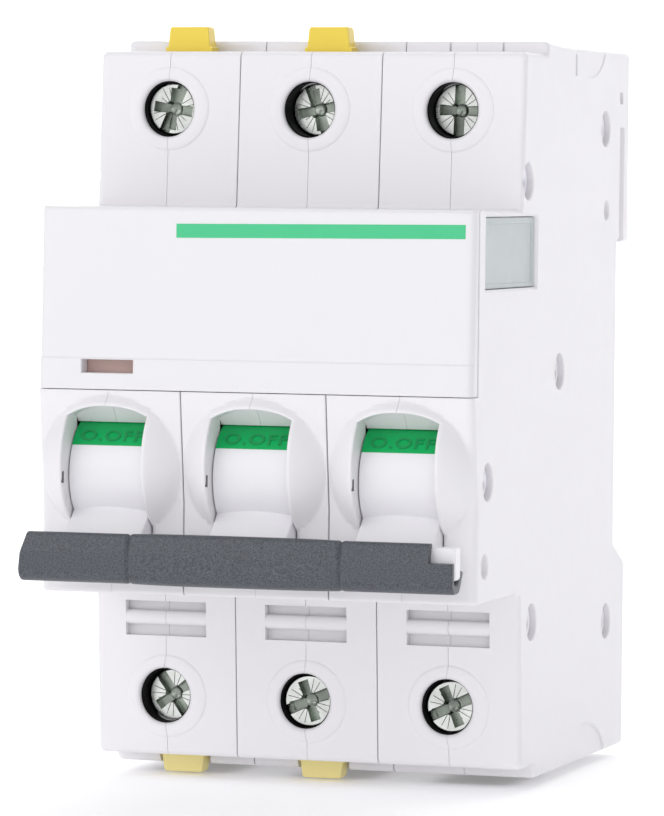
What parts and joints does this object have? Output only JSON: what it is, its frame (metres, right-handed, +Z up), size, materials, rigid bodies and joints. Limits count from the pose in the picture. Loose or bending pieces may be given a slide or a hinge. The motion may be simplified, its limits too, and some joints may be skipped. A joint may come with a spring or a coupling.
{
  "type": "miniature circuit breaker",
  "caption": "Modular circuit breaker with a shared tilting handle, screw terminals top and bottom, an internal contact and trip mechanism, and clips for a mounting rail.",
  "frame": {"origin": "centre of the rail seat on the back, on the middle pole's centre plane", "axes": "+Z up towards the upper terminals, -Y out of the front face, +X to the right across the poles"},
  "size_m": [0.054, 0.0785, 0.0923],
  "materials": {
    "case_plastic": "fine moulded off-white",
    "panel_plastic": "smooth satin white",
    "toggle_plastic": "smooth satin white with a green band",
    "bar_plastic": "grained slate grey",
    "clip_plastic": "smooth yellow",
    "port_plastic": "smooth grey",
    "flag_plastic": "smooth dull red",
    "black_plastic": "moulded black",
    "steel": "zinc plated",
    "copper": "bare copper alloy"
  },
  "bodies": {
    "case": {"case_left_1": "case_plastic", "case_right_1": "case_plastic", "case_left_2": "case_plastic", "case_right_2": "case_plastic", "case_left_3": "case_plastic", "case_right_3": "case_plastic", "front_panel": "panel_plastic", "port_cover": "port_plastic", "rivet_upper_front": "steel", "rivet_upper_rear": "steel", "rivet_middle": "steel", "rivet_toggle_axle": "steel", "rivet_lower_front": "steel", "rivet_lower_rear": "steel", "fixed_contact_1": "copper", "arc_chute_1": "steel", "coil_1": "copper", "magnet_yoke_1": "steel", "bimetal_1": "copper", "fixed_contact_2": "copper", "arc_chute_2": "steel", "coil_2": "copper", "magnet_yoke_2": "steel", "bimetal_2": "copper", "fixed_contact_3": "copper", "arc_chute_3": "steel", "coil_3": "copper", "magnet_yoke_3": "steel", "bimetal_3": "copper"},
    "handle": {"toggle_1": "toggle_plastic", "toggle_2": "toggle_plastic", "toggle_3": "toggle_plastic", "tie_bar": "bar_plastic"},
    "link_1": {"link_1": "steel"},
    "arm_1": {"contact_arm_1": "copper"},
    "plunger_1": {"plunger_1": "steel"},
    "link_2": {"link_2": "steel"},
    "arm_2": {"contact_arm_2": "copper"},
    "plunger_2": {"plunger_2": "steel"},
    "link_3": {"link_3": "steel"},
    "arm_3": {"contact_arm_3": "copper"},
    "plunger_3": {"plunger_3": "steel"},
    "trip_bar": {"trip_bar": "black_plastic"},
    "trip_flag": {"trip_flag": "flag_plastic"},
    "screw_upper_1": {"terminal_screw_upper_1": "steel"},
    "cage_upper_1": {"terminal_cage_upper_1": "steel"},
    "screw_lower_1": {"terminal_screw_lower_1": "steel"},
    "cage_lower_1": {"terminal_cage_lower_1": "steel"},
    "screw_upper_2": {"terminal_screw_upper_2": "steel"},
    "cage_upper_2": {"terminal_cage_upper_2": "steel"},
    "screw_lower_2": {"terminal_screw_lower_2": "steel"},
    "cage_lower_2": {"terminal_cage_lower_2": "steel"},
    "screw_upper_3": {"terminal_screw_upper_3": "steel"},
    "cage_upper_3": {"terminal_cage_upper_3": "steel"},
    "screw_lower_3": {"terminal_screw_lower_3": "steel"},
    "cage_lower_3": {"terminal_cage_lower_3": "steel"},
    "clip_upper_1": {"din_clip_upper_1": "clip_plastic"},
    "clip_lower_1": {"din_clip_lower_1": "clip_plastic"},
    "clip_upper_2": {"din_clip_upper_2": "clip_plastic"},
    "clip_lower_2": {"din_clip_lower_2": "clip_plastic"}
  },
  "joints": [
    {"name": "handle_tilt", "type": "hinge", "parent": "case", "child": "handle", "pos_m": [0, -0.0594, -0.0097], "axis": [-1, 0, 0], "range_deg": [0, 80]},
    {"name": "link_1_swing", "type": "hinge", "parent": "handle", "child": "link_1", "pos_m": [-0.018, -0.05596, -0.00729], "axis": [1, 0, 0], "range_deg": [0, 84]},
    {"name": "contact_1_close", "type": "hinge", "parent": "case", "child": "arm_1", "pos_m": [-0.018, -0.034, -0.012], "axis": [1, 0, 0], "range_deg": [0, 24.01]},
    {"name": "link_2_swing", "type": "hinge", "parent": "handle", "child": "link_2", "pos_m": [0, -0.05596, -0.00729], "axis": [1, 0, 0], "range_deg": [0, 84]},
    {"name": "contact_2_close", "type": "hinge", "parent": "case", "child": "arm_2", "pos_m": [0, -0.034, -0.012], "axis": [1, 0, 0], "range_deg": [0, 24.01]},
    {"name": "link_3_swing", "type": "hinge", "parent": "handle", "child": "link_3", "pos_m": [0.018, -0.05596, -0.00729], "axis": [1, 0, 0], "range_deg": [0, 84]},
    {"name": "contact_3_close", "type": "hinge", "parent": "case", "child": "arm_3", "pos_m": [0.018, -0.034, -0.012], "axis": [1, 0, 0], "range_deg": [0, 24.01]},
    {"name": "trip_flag_rise", "type": "slide", "parent": "case", "child": "trip_flag", "axis": [0, 0, 1], "range_m": [0, 0.003], "stiffness_N_per_m": 20, "springref_m": -0.003},
    {"name": "trip_bar_turn", "type": "hinge", "parent": "case", "child": "trip_bar", "pos_m": [0, -0.0466, 0.0175], "axis": [-1, 0, 0], "range_deg": [0, 12.05]},
    {"name": "plunger_1_strike", "type": "slide", "parent": "case", "child": "plunger_1", "axis": [0, -1, 0], "range_m": [0, 0.00201]},
    {"name": "plunger_2_strike", "type": "slide", "parent": "case", "child": "plunger_2", "axis": [0, -1, 0], "range_m": [0, 0.00201]},
    {"name": "plunger_3_strike", "type": "slide", "parent": "case", "child": "plunger_3", "axis": [0, -1, 0], "range_m": [0, 0.00201]},
    {"name": "screw_upper_1_turn", "type": "hinge", "parent": "case", "child": "screw_upper_1", "pos_m": [-0.018, -0.0449, 0.0339], "axis": [0, 1, 0], "range_deg": [0, 2161]},
    {"name": "cage_upper_1_rise", "type": "slide", "parent": "case", "child": "cage_upper_1", "axis": [0, -1, 0], "range_m": [0, 0.0048]},
    {"name": "screw_lower_1_turn", "type": "hinge", "parent": "case", "child": "screw_lower_1", "pos_m": [-0.018, -0.0449, -0.038], "axis": [0, 1, 0], "range_deg": [0, 2161]},
    {"name": "cage_lower_1_rise", "type": "slide", "parent": "case", "child": "cage_lower_1", "axis": [0, -1, 0], "range_m": [0, 0.0048]},
    {"name": "screw_upper_2_turn", "type": "hinge", "parent": "case", "child": "screw_upper_2", "pos_m": [0, -0.0449, 0.0339], "axis": [0, 1, 0], "range_deg": [0, 2161]},
    {"name": "cage_upper_2_rise", "type": "slide", "parent": "case", "child": "cage_upper_2", "axis": [0, -1, 0], "range_m": [0, 0.0048]},
    {"name": "screw_lower_2_turn", "type": "hinge", "parent": "case", "child": "screw_lower_2", "pos_m": [0, -0.0449, -0.038], "axis": [0, 1, 0], "range_deg": [0, 2161]},
    {"name": "cage_lower_2_rise", "type": "slide", "parent": "case", "child": "cage_lower_2", "axis": [0, -1, 0], "range_m": [0, 0.0048]},
    {"name": "screw_upper_3_turn", "type": "hinge", "parent": "case", "child": "screw_upper_3", "pos_m": [0.018, -0.0449, 0.0339], "axis": [0, 1, 0], "range_deg": [0, 2161]},
    {"name": "cage_upper_3_rise", "type": "slide", "parent": "case", "child": "cage_upper_3", "axis": [0, -1, 0], "range_m": [0, 0.0048]},
    {"name": "screw_lower_3_turn", "type": "hinge", "parent": "case", "child": "screw_lower_3", "pos_m": [0.018, -0.0449, -0.038], "axis": [0, 1, 0], "range_deg": [0, 2161]},
    {"name": "cage_lower_3_rise", "type": "slide", "parent": "case", "child": "cage_lower_3", "axis": [0, -1, 0], "range_m": [0, 0.0048]},
    {"name": "clip_upper_1_pull", "type": "slide", "parent": "case", "child": "clip_upper_1", "axis": [0, 0, 1], "range_m": [0, 0.003]},
    {"name": "clip_lower_1_pull", "type": "slide", "parent": "case", "child": "clip_lower_1", "axis": [0, 0, -1], "range_m": [0, 0.003]},
    {"name": "clip_upper_2_pull", "type": "slide", "parent": "case", "child": "clip_upper_2", "axis": [0, 0, 1], "range_m": [0, 0.003]},
    {"name": "clip_lower_2_pull", "type": "slide", "parent": "case", "child": "clip_lower_2", "axis": [0, 0, -1], "range_m": [0, 0.003]}
  ],
  "couplings": [
    {"joint": "link_1_swing", "follows": "handle_tilt", "ratio": 1.043},
    {"joint": "contact_1_close", "follows": "handle_tilt", "ratio": 0.3},
    {"joint": "link_2_swing", "follows": "handle_tilt", "ratio": 1.043},
    {"joint": "contact_2_close", "follows": "handle_tilt", "ratio": 0.3},
    {"joint": "link_3_swing", "follows": "handle_tilt", "ratio": 1.043},
    {"joint": "contact_3_close", "follows": "handle_tilt", "ratio": 0.3},
    {"joint": "trip_bar_turn", "follows": "trip_flag_rise", "rad_per_m": 69.813},
    {"joint": "plunger_1_strike", "follows": "trip_flag_rise", "ratio": 0.66667},
    {"joint": "plunger_2_strike", "follows": "trip_flag_rise", "ratio": 0.66667},
    {"joint": "plunger_3_strike", "follows": "trip_flag_rise", "ratio": 0.66667},
    {"joint": "screw_upper_1_turn", "follows": "cage_upper_1_rise", "rad_per_m": 7854},
    {"joint": "screw_lower_1_turn", "follows": "cage_lower_1_rise", "rad_per_m": 7854},
    {"joint": "screw_upper_2_turn", "follows": "cage_upper_2_rise", "rad_per_m": 7854},
    {"joint": "screw_lower_2_turn", "follows": "cage_lower_2_rise", "rad_per_m": 7854},
    {"joint": "screw_upper_3_turn", "follows": "cage_upper_3_rise", "rad_per_m": 7854},
    {"joint": "screw_lower_3_turn", "follows": "cage_lower_3_rise", "rad_per_m": 7854}
  ]
}
